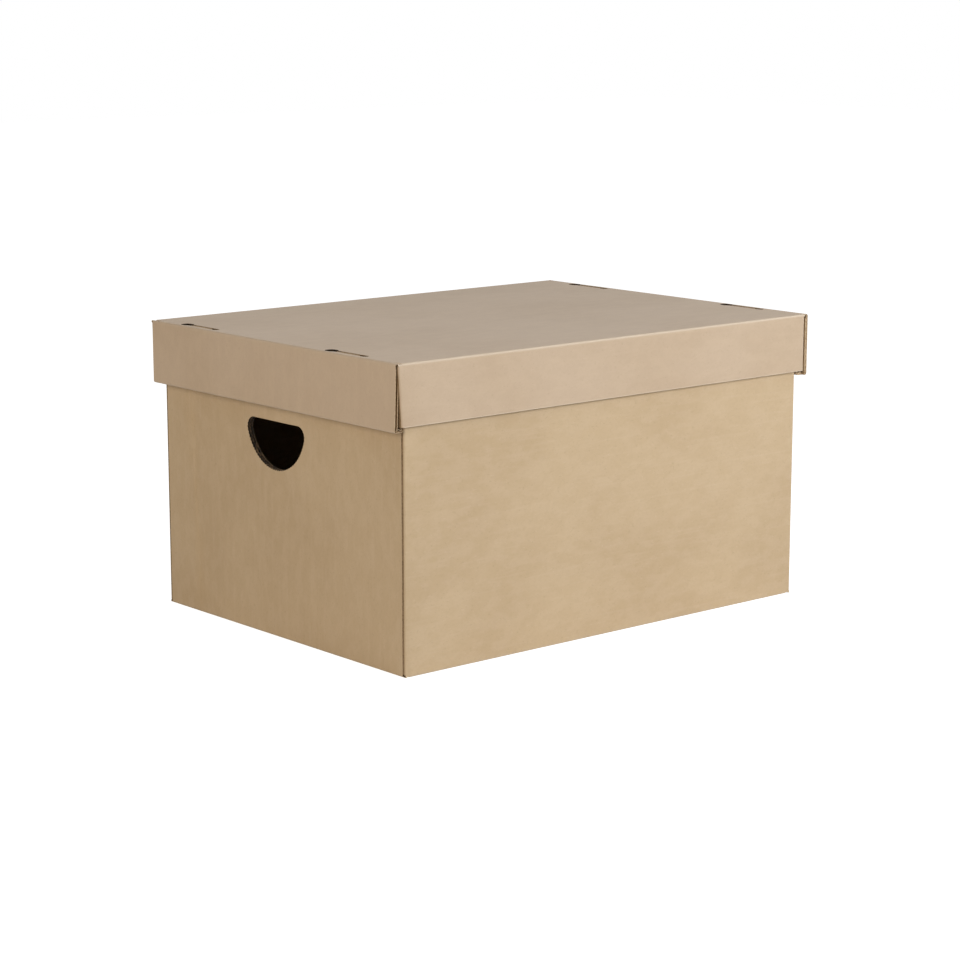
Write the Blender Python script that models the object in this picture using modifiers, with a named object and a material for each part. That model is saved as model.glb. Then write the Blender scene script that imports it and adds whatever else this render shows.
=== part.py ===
"""Archive box of kraft corrugated board: an open base with two hand holes, under a lift-off lid.

Each half is one die-cut sheet, creased and folded without glue or staples. A long wall wraps round its
corners into narrow flaps, and each short end rolls over those flaps: outer end, rim and inner end are one
strip that traps them. Tabs on the inner end lock in slots along the floor crease. The lid is the same
construction, larger and shallower, turned upside down.

Every panel and flap between two creases is an object of its own, which carries the fold that joins it to
the next one. Metres, +Z up. +X runs along the long side to the right end and -Y is the front. The origin
is the middle of the underside, on the surface that the box stands on.
"""

import math

import bmesh
import bpy
from mathutils import Vector

# Corrugated board and its folds
board = 0.003  # thickness
crease_radius = 0.0006  # inside radius of a fold
fit_gap = 0.0003  # air between two boards that touch
fold_land = 0.0003  # straight stretch past a fold, up to the next panel
fold_steps = 5  # flats round one fold

# Box as it stands with its lid on
base_length = 0.440  # outside, along X
base_width = 0.330  # outside, along Y
overall_height = 0.250
lid_depth = 0.054  # lid from its top to the rims of its ends
lid_end_clearance = 0.0010  # from the base to the lid, at each end
lid_side_clearance = 0.0010  # from the base to the lid, along each side

# Long walls, short ends and the corner flaps between their layers
end_setback = 0.0005  # raw edge of an outer end, behind the face of the long wall
inner_end_play = 0.0005  # inner end, from the long walls beside it
flap_reach = 0.050  # corner flap, from the face of its long wall
flap_taper = 0.004  # drawn in at the free edge, above and below
flap_corner = 0.004  # rounding of its free corners

# Locking tabs and their slots
tab_offset = 0.101  # tab's middle, to each side of the middle of the pair
tab_tip_width = 0.028
tab_taper = 0.002  # each flank, from root to tip
tab_corner = 0.0008  # rounding at the tip
tab_recess = 0.0003  # tip, inside the floor's outer face
slot_end_play = 0.0095  # slot beyond the tab's root, at each end
slot_side_play = 0.0012  # slot beyond the tab's faces, at each side

# Hand holes, each a half disc with a straight top edge
hand_hole_radius = 0.041
hand_hole_corner = 0.009  # rounding where the straight edge meets the arc
hand_hole_below_rim = 0.0645  # straight edge, under the top of the rim
hand_flap_cut = 0.0005  # width of the cut round the flap
hand_flap_fold = math.radians(180)  # turned in and up, from closed

# Cutting tolerance that shows in the photograph
cutout_shift = 0.004  # tabs, slots and hand holes of the ends, towards the back from the middle
arc_steps = 24  # flats round the half disc
corner_steps = 4  # flats round a small corner
weld_distance = 0.00001  # points nearer than this are one

# Worked out from the sizes above
fold_radius = crease_radius + board
fold_reach = fold_radius + fold_land  # from a panel's face to where the next panel may start
end_stack = 3 * board + 2 * fit_gap
base_height = overall_height - board - fit_gap
lid_length = base_length + 2 * (lid_end_clearance + end_stack)
lid_width = base_width + 2 * (lid_side_clearance + board)

# Kraft liner as the photograph shows it, darker on the ends than on the long sides
kraft_side = (0.552, 0.439, 0.285, 1.0)
kraft_end = (0.386, 0.279, 0.171, 1.0)
kraft_top = (0.423, 0.342, 0.275, 1.0)
kraft_inside = (0.330, 0.240, 0.150, 1.0)
kraft_roughness = 0.85

LEFT, RIGHT = -1, 1


def clear_scene():
    for item in list(bpy.data.objects):
        bpy.data.objects.remove(item, do_unlink=True)


def new_collection(name):
    collection = bpy.data.collections.new(name)
    bpy.context.scene.collection.children.link(collection)
    return collection


def kraft(name, colour):
    """Matt, slightly fibrous paper liner."""
    material = bpy.data.materials.new(name)
    material.use_nodes = True
    shader = material.node_tree.nodes["Principled BSDF"]
    shader.inputs["Base Color"].default_value = colour
    shader.inputs["Roughness"].default_value = kraft_roughness
    shader.inputs["Metallic"].default_value = 0.0
    return material


def add_object(name, data, parent, colour):
    panel = bpy.data.objects.new(name, data)
    panel.parent = parent
    data.materials.append(kraft(name + "_kraft", colour))
    parts.objects.link(panel)
    return panel


def add_empty(name, location, parent=None):
    empty = bpy.data.objects.new(name, None)
    empty.location = location
    empty.parent = parent
    parts.objects.link(empty)
    return empty


# Flat outlines

def arc(centre, radius, start, end, steps):
    """Points round an arc, both ends included, with its angles in radians."""
    points = []
    for step in range(steps + 1):
        angle = start + (end - start) * step / steps
        points.append((centre[0] + radius * math.cos(angle), centre[1] + radius * math.sin(angle)))
    return points


def rounded(corners):
    """Closed outline through (x, y, radius) corners, each replaced by an arc of its radius."""
    points = []
    for index, (x, y, radius) in enumerate(corners):
        here = Vector((x, y))
        before = Vector(corners[index - 1][:2])
        after = Vector(corners[(index + 1) % len(corners)][:2])
        if radius == 0:
            points.append((x, y))
            continue
        back = (before - here).normalized()
        ahead = (after - here).normalized()
        half_angle = back.angle(ahead) / 2
        centre = here + (back + ahead).normalized() * radius / math.sin(half_angle)
        first = here + back * radius / math.tan(half_angle) - centre
        turn = (math.pi - 2 * half_angle) * (1 if back.cross(ahead) < 0 else -1)
        start = math.atan2(first.y, first.x)
        points += arc(centre, radius, start, start + turn, corner_steps)
    return points


def stadium(x, y, width, length):
    """Slot of one width along X, with round ends along Y."""
    end = length / 2 - width / 2
    top = arc((x, y + end), width / 2, 0, math.pi, 2 * corner_steps)
    bottom = arc((x, y - end), width / 2, math.pi, 2 * math.pi, 2 * corner_steps)
    return top + bottom


def half_disc(radius, corner, drop):
    """Hand hole's outline about the middle of its straight edge, which lies drop below the origin."""
    corner_x = math.sqrt((radius - corner) ** 2 - (drop + corner) ** 2)
    corner_y = -drop - corner
    tilt = math.atan2(corner_y, corner_x)
    left = arc((-corner_x, corner_y), corner, math.pi / 2, math.pi - tilt, corner_steps)
    bowl = arc((0, 0), radius, math.pi - tilt, 2 * math.pi + tilt, arc_steps)
    right = arc((corner_x, corner_y), corner, tilt, math.pi / 2, corner_steps)
    return left[:-1] + bowl + right[1:]


def plate(name, outlines, parent, colour):
    """Flat panel in its own XY plane, as thick as the board. Outlines after the first are holes."""
    curve = bpy.data.curves.new(name, "CURVE")
    curve.dimensions = "2D"
    curve.fill_mode = "BOTH"
    curve.extrude = board / 2
    for outline in outlines:
        spline = curve.splines.new("POLY")
        spline.points.add(len(outline) - 1)
        for point, (x, y) in zip(spline.points, outline):
            point.co = (x, y, 0, 1)
        spline.use_cyclic_u = True
    return add_object(name, curve, parent, colour)


def stand_across(panel, x, y=0.0, z=0.0):
    """Turns a flat panel to face along X: its own X then runs along Y, and its own Y up."""
    panel.rotation_euler = (math.radians(90), 0, math.radians(90))
    panel.location = (x, y, z)


# Folded sheets, made on their outer face and thickened inwards

def start_edge(sheet, start, end):
    return [sheet.edges.new((sheet.verts.new(start), sheet.verts.new(end)))]


def run_on(sheet, edges, step):
    """Carries a sheet straight on from its edges and returns the new edges."""
    made = bmesh.ops.extrude_edge_only(sheet, edges=edges)["geom"]
    bmesh.ops.translate(sheet, vec=step, verts=[item for item in made if isinstance(item, bmesh.types.BMVert)])
    return [item for item in made if isinstance(item, bmesh.types.BMEdge)]


def fold(sheet, edges, pivot, towards):
    """Folds a sheet at its edges by a right angle round the pivot and returns the new edges."""
    ends = [vert.co for edge in edges for vert in edge.verts]
    middle = sum(ends, Vector()) / len(ends)
    along = (edges[0].verts[1].co - edges[0].verts[0].co).normalized()
    arm = middle - Vector(pivot)
    arm -= along * arm.dot(along)
    corners = list({vert for edge in edges for vert in edge.verts})
    last = bmesh.ops.spin(
        sheet,
        geom=edges + corners,
        cent=pivot,
        axis=arm.cross(Vector(towards)).normalized(),
        angle=math.radians(90),
        steps=fold_steps,
        use_duplicate=False,
    )["geom_last"]
    return [item for item in last if isinstance(item, bmesh.types.BMEdge)]


def upright_edges(sheet, x):
    """Edges of a sheet that stand at one place along X."""
    return [edge for edge in sheet.edges if all(abs(vert.co.x - x) < weld_distance for vert in edge.verts)]


def add_sheet(name, sheet, outwards, parent, colour):
    """Gives the finished surface the board's thickness, on the side away from outwards."""
    bmesh.ops.recalc_face_normals(sheet, faces=sheet.faces)
    sheet.faces.ensure_lookup_table()
    if sheet.faces[0].normal.dot(Vector(outwards)) < 0:
        bmesh.ops.reverse_faces(sheet, faces=sheet.faces)
    mesh = bpy.data.meshes.new(name)
    sheet.to_mesh(mesh)
    sheet.free()
    panel = add_object(name, mesh, parent, colour)
    solid = panel.modifiers.new("board", "SOLIDIFY")
    solid.thickness = board
    solid.offset = -1
    solid.use_even_offset = True
    return panel


def cut(panel, cutter):
    opening = panel.modifiers.new("opening", "BOOLEAN")
    opening.operation = "DIFFERENCE"
    opening.solver = "EXACT"
    opening.object = cutter


def punch(name, outline, parent, x, y, z):
    """Cutter of the outline's shape through the boards of one end."""
    shape = plate(name, [outline], parent, kraft_inside)
    shape.data.extrude = end_stack
    bpy.context.view_layer.update()
    graph = bpy.context.evaluated_depsgraph_get()
    mesh = bpy.data.meshes.new_from_object(shape.evaluated_get(graph))
    bpy.data.objects.remove(shape, do_unlink=True)
    welded = bmesh.new()
    welded.from_mesh(mesh)
    bmesh.ops.remove_doubles(welded, verts=welded.verts, dist=weld_distance)
    bmesh.ops.recalc_face_normals(welded, faces=welded.faces)
    welded.to_mesh(mesh)
    welded.free()
    cutter = bpy.data.objects.new(name, mesh)
    cutter.parent = parent
    stand_across(cutter, x, y, z)
    cutter.hide_render = True
    cutter.display_type = "WIRE"
    cutters.objects.link(cutter)
    return cutter


# Panels of one half, in the frame of its floor's outer face with the open side up

class Half:
    """One folded sheet: the base, or the lid lying on its back."""

    def __init__(self, name, floor_name, frame, length, width, height, side_names, colours, hand_holes):
        self.name = name
        self.floor_name = floor_name
        self.frame = frame
        self.end_x = length / 2
        self.side_y = width / 2
        self.height = height
        self.wall_top = height - fold_reach - fit_gap
        self.side_names = side_names
        self.shift = cutout_shift if side_names[1] == "back" else -cutout_shift
        self.floor_colour, self.side_colour, self.end_colour = colours
        self.hand_holes = hand_holes
        self.inner_end_x = self.end_x - end_stack + board / 2
        self.flap_x = self.end_x - board - fit_gap - board / 2

    def hand_hole_z(self):
        return self.height - hand_hole_below_rim

    def build(self):
        self.floor()
        for side in self.side_names:
            self.long_wall(side)
        for end, end_name in ((LEFT, "left"), (RIGHT, "right")):
            self.outer_end(end, end_name)
            self.rim(end, end_name)
            self.inner_end(end, end_name)
            for side in self.side_names:
                self.corner_flap(end, end_name, side)

    def floor(self):
        """Plate inside the four floor creases, with two slots along each short one."""
        reach_x = self.end_x - fold_reach - fit_gap
        reach_y = self.side_y - fold_reach - fit_gap
        outlines = [[(-reach_x, -reach_y), (reach_x, -reach_y), (reach_x, reach_y), (-reach_x, reach_y)]]
        slot_width = board + 2 * slot_side_play
        slot_length = tab_tip_width + 2 * (tab_taper + slot_end_play)
        for end in (LEFT, RIGHT):
            for side in self.side_names:
                slot_y = self.shift + side * tab_offset
                outlines.append(stadium(end * self.inner_end_x, slot_y, slot_width, slot_length))
        panel = plate(self.name + "_" + self.floor_name, outlines, self.frame, self.floor_colour)
        panel.location = (0, 0, board / 2)

    def long_wall(self, side):
        """Stands on its floor crease and wraps round both corners to its flaps."""
        face_y = side * self.side_y
        pivot_y = side * (self.side_y - fold_radius)
        corner_x = self.end_x - board - fit_gap - fold_radius
        sheet = bmesh.new()
        foot = start_edge(sheet, (-corner_x, face_y, fold_radius), (corner_x, face_y, fold_radius))
        notch = run_on(sheet, foot, (0, 0, fit_gap))
        run_on(sheet, notch, (0, 0, self.wall_top - fold_radius - fit_gap))
        for end in (LEFT, RIGHT):
            edge = max(upright_edges(sheet, end * corner_x), key=bmesh.types.BMEdge.calc_length)
            edge = fold(sheet, [edge], (end * corner_x, pivot_y, 0), (end, 0, 0))
            run_on(sheet, edge, (0, -side * fold_land, 0))
        foot = fold(sheet, foot, (0, pivot_y, fold_radius), (0, 0, -1))
        run_on(sheet, foot, (0, -side * fold_land, 0))
        name = f"{self.name}_{self.side_names[side]}_wall"
        add_sheet(name, sheet, (0, side, 0), self.frame, self.side_colour)

    def outer_end(self, end, end_name):
        """Covers the corner folds of both long walls, from the floor crease up to the rim."""
        face_x = end * self.end_x
        reach_y = self.side_y - end_setback
        sheet = bmesh.new()
        foot = start_edge(sheet, (face_x, -reach_y, fold_radius), (face_x, reach_y, fold_radius))
        run_on(sheet, foot, (0, 0, self.height - fold_radius - fold_reach - fit_gap))
        foot = fold(sheet, foot, (end * (self.end_x - fold_radius), 0, fold_radius), (0, 0, -1))
        run_on(sheet, foot, (-end * fold_land, 0, 0))
        name = f"{self.name}_{end_name}_outer_end"
        panel = add_sheet(name, sheet, (end, 0, 0), self.frame, self.end_colour)
        if self.hand_holes:
            outline = half_disc(hand_hole_radius, hand_hole_corner, 0)
            cutter = punch(name + "_hole", outline, self.frame, face_x, self.shift, self.hand_hole_z())
            cut(panel, cutter)

    def rim(self, end, end_name):
        """Strip between the two creases of the roll-over, as wide as the three boards under it."""
        reach_y = self.side_y - end_setback
        pivot_z = self.height - fold_radius
        outer_x = end * (self.end_x - fold_radius)
        inner_x = end * (self.end_x - end_stack + fold_radius)
        sheet = bmesh.new()
        face_x = end * self.end_x
        low = self.height - fold_reach
        edge = start_edge(sheet, (face_x, -reach_y, low), (face_x, reach_y, low))
        edge = run_on(sheet, edge, (0, 0, fold_land))
        edge = fold(sheet, edge, (outer_x, 0, pivot_z), (0, 0, 1))
        edge = run_on(sheet, edge, (inner_x - outer_x, 0, 0))
        edge = fold(sheet, edge, (inner_x, 0, pivot_z), (-end, 0, 0))
        run_on(sheet, edge, (0, 0, -fold_land))
        name = f"{self.name}_{end_name}_rim"
        add_sheet(name, sheet, (end, 0, 0), self.frame, self.end_colour)

    def inner_end(self, end, end_name):
        """Hangs from the rim inside the corner flaps and locks in the floor with two tabs."""
        reach_y = self.side_y - board - inner_end_play
        low = board + fit_gap
        high = self.height - fold_reach - fit_gap
        tip = tab_tip_width / 2
        root = tip + tab_taper
        corners = [(-reach_y, high, 0), (-reach_y, low, 0)]
        for middle in (self.shift - tab_offset, self.shift + tab_offset):
            corners += [
                (middle - root, low, 0),
                (middle - tip, tab_recess, tab_corner),
                (middle + tip, tab_recess, tab_corner),
                (middle + root, low, 0),
            ]
        corners += [(reach_y, low, 0), (reach_y, high, 0)]
        outlines = [rounded(corners)]
        if self.hand_holes:
            hole = half_disc(hand_hole_radius, hand_hole_corner, 0)
            outlines.append([(y + self.shift, z + self.hand_hole_z()) for y, z in hole])
            self.hand_flap(end, end_name)
        panel = plate(f"{self.name}_{end_name}_inner_end", outlines, self.frame, kraft_inside)
        stand_across(panel, end * self.inner_end_x)

    def corner_flap(self, end, end_name, side):
        """Long wall's flap, folded behind the outer end and trapped by the inner one."""
        root = side * (self.side_y - fold_reach - fit_gap)
        free = side * (self.side_y - flap_reach)
        low = fold_radius + fit_gap
        high = self.wall_top
        corners = [
            (root, low, 0),
            (free, low + flap_taper, flap_corner),
            (free, high - flap_taper, flap_corner),
            (root, high, 0),
        ]
        name = f"{self.name}_{self.side_names[side]}_{end_name}_corner_flap"
        panel = plate(name, [rounded(corners)], self.frame, kraft_inside)
        stand_across(panel, end * self.flap_x)

    def hand_flap(self, end, end_name):
        """Piece cut from the inner end's hand hole, pushed in and folded up about the straight edge."""
        hinge_x = end * (self.end_x - end_stack - fit_gap / 2)
        hinge = add_empty(end_name + "_hand_flap_hinge", (hinge_x, 0, self.hand_hole_z()), self.frame)
        hinge.rotation_euler = (0, end * hand_flap_fold, 0)
        outline = half_disc(hand_hole_radius - hand_flap_cut, hand_hole_corner - hand_flap_cut, hand_flap_cut)
        flap = plate(end_name + "_hand_flap", [outline], hinge, kraft_inside)
        stand_across(flap, end * (board + fit_gap) / 2, self.shift)


clear_scene()
parts = new_collection("archive_box")
cutters = new_collection("cutters")
cutters.hide_render = True

base_frame = add_empty("base_frame", (0, 0, 0))
Half(
    "base", "floor", base_frame, base_length, base_width, base_height,
    {-1: "front", 1: "back"}, (kraft_inside, kraft_side, kraft_end), True,
).build()

lid_frame = add_empty("lid_lift", (0, 0, overall_height))
lid_frame.rotation_euler = (math.pi, 0, 0)
Half(
    "lid", "top", lid_frame, lid_length, lid_width, lid_depth,
    {-1: "back", 1: "front"}, (kraft_top, kraft_side, kraft_end), False,
).build()
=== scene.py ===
# %% [markdown]
# # A brown archive box, folded from two die-cut sheets
#
# The real box is two flat sheets of corrugated board. A machine stamps each one with its outline, its
# hand holes and slots, and its creases. Somebody folds it up at a desk in a minute, with no glue.
# This lesson does the same. We draw each blank flat, give it two paper liners and a fluted core, and
# then one function folds every point of it into place. Grain and flutes that are drawn on the flat
# blank then run round the folds as they do on real board.

# %% Load the fixed frame and keep its size
import math

import bmesh
import bpy
import numpy as np
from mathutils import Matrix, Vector
from mathutils.geometry import delaunay_2d_cdt


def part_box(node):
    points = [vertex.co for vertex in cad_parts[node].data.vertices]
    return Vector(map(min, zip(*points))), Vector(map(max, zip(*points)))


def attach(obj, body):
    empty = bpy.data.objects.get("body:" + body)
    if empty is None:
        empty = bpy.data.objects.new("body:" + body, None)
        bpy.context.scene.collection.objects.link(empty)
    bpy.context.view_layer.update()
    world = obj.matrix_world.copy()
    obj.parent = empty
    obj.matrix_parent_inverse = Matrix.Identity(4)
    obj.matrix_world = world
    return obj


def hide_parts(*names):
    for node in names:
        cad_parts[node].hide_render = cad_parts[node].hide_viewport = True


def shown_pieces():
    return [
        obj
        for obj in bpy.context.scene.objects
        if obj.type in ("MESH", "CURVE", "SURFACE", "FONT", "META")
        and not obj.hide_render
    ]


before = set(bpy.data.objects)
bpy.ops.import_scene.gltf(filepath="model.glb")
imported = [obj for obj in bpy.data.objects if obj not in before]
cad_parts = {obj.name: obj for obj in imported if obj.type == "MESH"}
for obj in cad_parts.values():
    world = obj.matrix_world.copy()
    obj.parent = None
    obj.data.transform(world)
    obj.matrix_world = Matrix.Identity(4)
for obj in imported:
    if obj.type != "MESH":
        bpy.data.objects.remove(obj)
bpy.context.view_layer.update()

# %% [markdown]
# ## The board
#
# Archive boxes use B flute: two liners of kraft paper with a wavy sheet between them, 3 mm thick in
# all, with a wave about every 6.5 mm. A liner is really 0.25 mm thick. It is drawn thicker here,
# because a cutting rule crushes the edge, and so that a cut edge still shows two pale lines with the
# dark flutes between them. A crease is crushed too: the board there is little more than half as thick,
# and it turns round a radius smaller than its own thickness. Two layers that lie on each other keep
# 0.3 mm of air between them.

# %% Board measures
MM = 0.001
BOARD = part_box("base_floor")[1].z
AIR = 0.3 * MM
LINER = 0.55 * MM
FLUTE_PITCH = 6.5 * MM
CORE_SHEET = 0.22 * MM
CUT_DEPTH = 2.2 * MM
OUTER_CUT_SHARE = 0.25
FOLD_RADIUS = 2.1 * MM
FOLD_ARC = math.pi / 2 * FOLD_RADIUS
CRUSH = 0.42
CRUSH_REACH = 2.6 * MM
print(f"board {BOARD / MM:.1f} mm, outside radius of a fold {FOLD_RADIUS / MM:.1f} mm")

# %% [markdown]
# ## Measures of the two folded sheets
#
# The base and the lid are the same kind of blank in two sizes. Heights are counted from the outside of
# the flat middle panel, so the lid is the same shape upside down. All lengths come from the boxes of
# the CAD panels, so the dressed sheets have the size of the solids and stand where they stand.


# %% Read one half of the box from its CAD panels
def measure(half, panel, upside_down):
    """The named lengths of one folded sheet, from the CAD panels of that half."""
    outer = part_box(f"{half}_left_outer_end")
    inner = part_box(f"{half}_left_inner_end")
    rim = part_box(f"{half}_left_rim")
    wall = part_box(f"{half}_front_wall")
    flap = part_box(f"{half}_front_left_corner_flap")
    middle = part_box(panel)
    ground = middle[1].z if upside_down else middle[0].z

    def height(box):
        """Lowest and highest point of a CAD box, counted from the middle panel's outside."""
        levels = sorted(abs(corner.z - ground) for corner in box)
        return levels[0], levels[1]

    return {
        "ground": ground,
        "up": -1 if upside_down else 1,
        "end_x": -outer[0].x,
        "end_half": outer[1].y,
        "inner_x": -inner[1].x,
        "inner_half": inner[1].y,
        "rim_height": height(rim)[1],
        "tab_tip": height(inner)[0],
        "wall_y": -wall[0].y,
        "wall_height": height(wall)[1],
        "flap_tip": -flap[1].y,
    }


base = measure("base", "base_floor", False)
lid = measure("lid", "lid_top", True)
for title, half in (("base", base), ("lid", lid)):
    print(title, {key: round(value / MM, 2) for key, value in half.items() if key != "up"})

# %% [markdown]
# ## Folding by one function
#
# A modifier could bend a sheet, but five creases at right angles are simpler as arithmetic. `walk`
# follows a path of straight runs and quarter turns. It takes a distance along the outer paper and a
# depth under it, and answers where that point ends up. The outer paper goes round the big radius and
# the inner paper round the small one, which is what gives a crease its soft outside edge.


# %% Walk along a folded strip
def crushed(depth, gap):
    """Depth of a point where the board is crushed, by how far it is from the fold."""
    share = np.clip(1 - gap / CRUSH_REACH, 0, 1)
    return depth * (1 - CRUSH * share * share * (3 - 2 * share))


def walk(distance, depth, runs):
    """Forward and upward place of points on a strip that turns up by 90 degrees after each run."""
    start = runs[0]
    for run in [*runs[1:-1], 0]:
        outside = abs(distance - start - FOLD_ARC / 2) - FOLD_ARC / 2
        depth = crushed(depth, np.clip(outside, 0, None))
        start += FOLD_ARC + run
    forward = np.minimum(distance, runs[0])
    upward = depth * 1.0
    start, corner, heading = runs[0], np.array([runs[0], 0.0]), 0.0
    for run in runs[1:]:
        left = np.array([-math.sin(heading), math.cos(heading)])
        ahead = np.array([math.cos(heading), math.sin(heading)])
        centre = corner + FOLD_RADIUS * left
        beyond = distance > start
        angle = np.clip((distance - start) / FOLD_RADIUS, 0, math.pi / 2)
        reach = FOLD_RADIUS - depth
        rest = np.maximum(distance - start - FOLD_ARC, 0)
        for axis, values in ((0, forward), (1, upward)):
            place = centre[axis] - reach * (left[axis] * np.cos(angle) - ahead[axis] * np.sin(angle))
            values[beyond] = (place + rest * left[axis])[beyond]
        corner = centre + FOLD_RADIUS * ahead + run * left
        start, heading = start + FOLD_ARC + run, heading + math.pi / 2
    return forward, upward


# %% Straight runs of the strips
def strip_runs(half):
    """Straight lengths along an end strip and along a long wall, from the middle of the blank."""
    stack = half["end_x"] - half["inner_x"]
    end = [
        half["end_x"] - FOLD_RADIUS,
        half["rim_height"] - 2 * FOLD_RADIUS,
        stack - 2 * FOLD_RADIUS,
        half["rim_height"] - FOLD_RADIUS,
    ]
    side = [half["wall_y"] - FOLD_RADIUS, half["wall_height"] - FOLD_RADIUS]
    return end, side


for half in (base, lid):
    half["end_runs"], half["side_runs"] = strip_runs(half)
    half["corner_x"] = half["end_x"] - BOARD - AIR - FOLD_RADIUS
    half["level"] = half["rim_height"] - FOLD_RADIUS
print("end strip of the base, mm:", [round(run / MM, 2) for run in base["end_runs"]])

# %% [markdown]
# ## Where every point of a blank goes
#
# Three things can happen to a point. In an end strip it follows the roll-over: up, over the rim and
# down again inside. In a side strip it goes up the long wall and then, past the corner, round into the
# flap that the roll-over traps. Anywhere else it stays in the middle panel.
#
# Hand-folded corners aren't perfect, and `corner_state` says how each one stands. Most bends have been
# pushed out by the board inside them until they lie flush with the end, and hide its cut edge: `wrap`.
# On the lid's nearest corner the wall has slipped away again towards the bottom, so that a dark wedge
# opens and the cut edge of the end shows in it: `slip`. The end flares out there too. At the lid's
# right end the cut edge stays in sight. A bend that is pushed out springs back to the line of its flap
# within a few millimetres.


# %% State of the corners
SPRING_BACK = 7 * MM
STRETCH = 60 * MM
ROW_SLACK = 0.001 * FOLD_ARC
FLUSH = 0.2 * MM
WRAP = BOARD + AIR - FLUSH
SEAM = {"base": 1.3 * MM, "lid": 0.3 * MM}
FLARE = 1.6 * MM
FLARE_FROM = (0.8, 0.3)
SLIP_RISE = 3 * MM
CORNERS = {
    "base": (WRAP, 0.0, 0.0),
    "lid, right end": (0.0, 0.9 * MM, 0.0),
    "lid, near corner": (WRAP, 1.0 * MM, 4.6 * MM),
    "lid, far left corner": (WRAP, 0.3 * MM, 0.8 * MM),
}


def corner_state(half, side_u, side_v):
    """How far a bend is pushed out, has slipped at the top, and has slipped more at the bottom."""
    if half is base:
        return CORNERS["base"]
    if side_u > 0:
        return CORNERS["lid, right end"]
    return CORNERS["lid, near corner" if side_v < 0 else "lid, far left corner"]


def corner_place(half, side_u, side_v):
    """Distance from the middle of the blank at which a long wall begins to bend."""
    return half["corner_x"] + corner_state(half, side_u, side_v)[0]


def end_half(half, side_u, side_v):
    """Half width of an end panel: narrower at a corner whose bend is flush with it."""
    if corner_state(half, side_u, side_v)[0] > 0:
        return half["wall_y"] - FOLD_RADIUS - SEAM["base" if half is base else "lid"]
    return half["end_half"]


def soft_step(value):
    """0 below 0, 1 above 1 and a smooth rise between."""
    value = np.clip(value, 0, 1)
    return value * value * (3 - 2 * value)


# %% Fold a flat point into the box
def fold(half, flat, depth):
    """Places of flat points (u, v) of one blank, at a depth under the outer paper."""
    u, v = flat[:, 0], flat[:, 1]
    depth = np.broadcast_to(np.asarray(depth, float), u.shape).copy()
    side_u, side_v = np.where(u < 0, -1.0, 1.0), np.where(v < 0, -1.0, 1.0)
    end_x, end_z = walk(abs(u), depth, half["end_runs"])
    wall_y, wall_z = walk(abs(v), depth, half["side_runs"])
    edge_v = 0.5 * (half["end_half"] + half["side_runs"][0] + FOLD_ARC)
    in_end = (abs(u) > half["end_runs"][0]) & (abs(v) < edge_v)
    in_side = (abs(v) > half["side_runs"][0]) & ~in_end
    x = np.where(in_end, end_x, abs(u))
    y = np.where(in_side, wall_y, abs(v))
    z = np.where(in_end, end_z, np.where(in_side, wall_z, depth))
    # round the upright corner into the flap
    wall_foot = half["side_runs"][0] + FOLD_ARC
    height = np.clip(abs(v) - wall_foot + FOLD_RADIUS, 0, None)
    lowness = np.clip(height / half["wall_height"], 0, 1)
    wrap, slack = np.zeros(len(u)), np.zeros(len(u))
    for sign_u in (-1, 1):
        for sign_v in (-1, 1):
            pushed, slip_top, slip_more = corner_state(half, sign_u, sign_v)
            here = (side_u == sign_u) & (side_v == sign_v)
            wrap[here] = pushed
            slack[here] = slip_top + slip_more * lowness[here]
    begin = half["corner_x"] + wrap
    finish = begin + FOLD_ARC
    slack *= soft_step(height / SLIP_RISE) * soft_step(1 - (abs(u) - finish) / SPRING_BACK)
    slack *= np.clip(1 - (begin - abs(u)) / STRETCH, 0, 1)
    slack += wrap * soft_step((abs(u) - finish) / SPRING_BACK)
    turn = np.clip((abs(u) - begin) / FOLD_ARC, 0, 1) * math.pi / 2
    upright = in_side & (abs(v) > wall_foot - ROW_SLACK)
    near = np.clip(abs(abs(u) - begin - FOLD_ARC / 2) - FOLD_ARC / 2, 0, None)
    radius = FOLD_RADIUS - crushed(depth, np.where(upright, near, 1))
    bent = upright & (abs(u) > begin - STRETCH)
    x = np.where(bent, np.minimum(abs(u), begin) - slack + radius * np.sin(turn), x)
    inward = FOLD_RADIUS - radius * np.cos(turn) + np.clip(abs(u) - finish, 0, None)
    y = np.where(bent, np.where(abs(u) > begin, half["wall_y"] - inward, y), y)
    z = np.where(bent & (abs(u) > begin), height, z)
    if half is lid:
        shares = (side_u < 0) * x / half["end_x"], -side_v * y / half["wall_y"]
        near_corner = 1.0
        for share, begins in zip(shares, FLARE_FROM):
            near_corner = near_corner * soft_step((share - begins) / (1 - begins))
        x = x - FLARE * near_corner * np.clip(1 - z / half["rim_height"], 0, 1)
    return np.column_stack([side_u * x, side_v * y, half["ground"] + half["up"] * z])


# %% [markdown]
# ## Drawing the blank
#
# A cutting die is a set of steel rules bent to the outline. Ours is a list of corners, each with the
# radius that it is rounded by. A quarter of the blank is enough, because it is nearly the same mirrored
# both ways. Corners are drawn first and the lines between them are then divided into short, even steps, so
# that the paper has enough points to fold and the flutes have enough to be seen in the cut edge.


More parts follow.
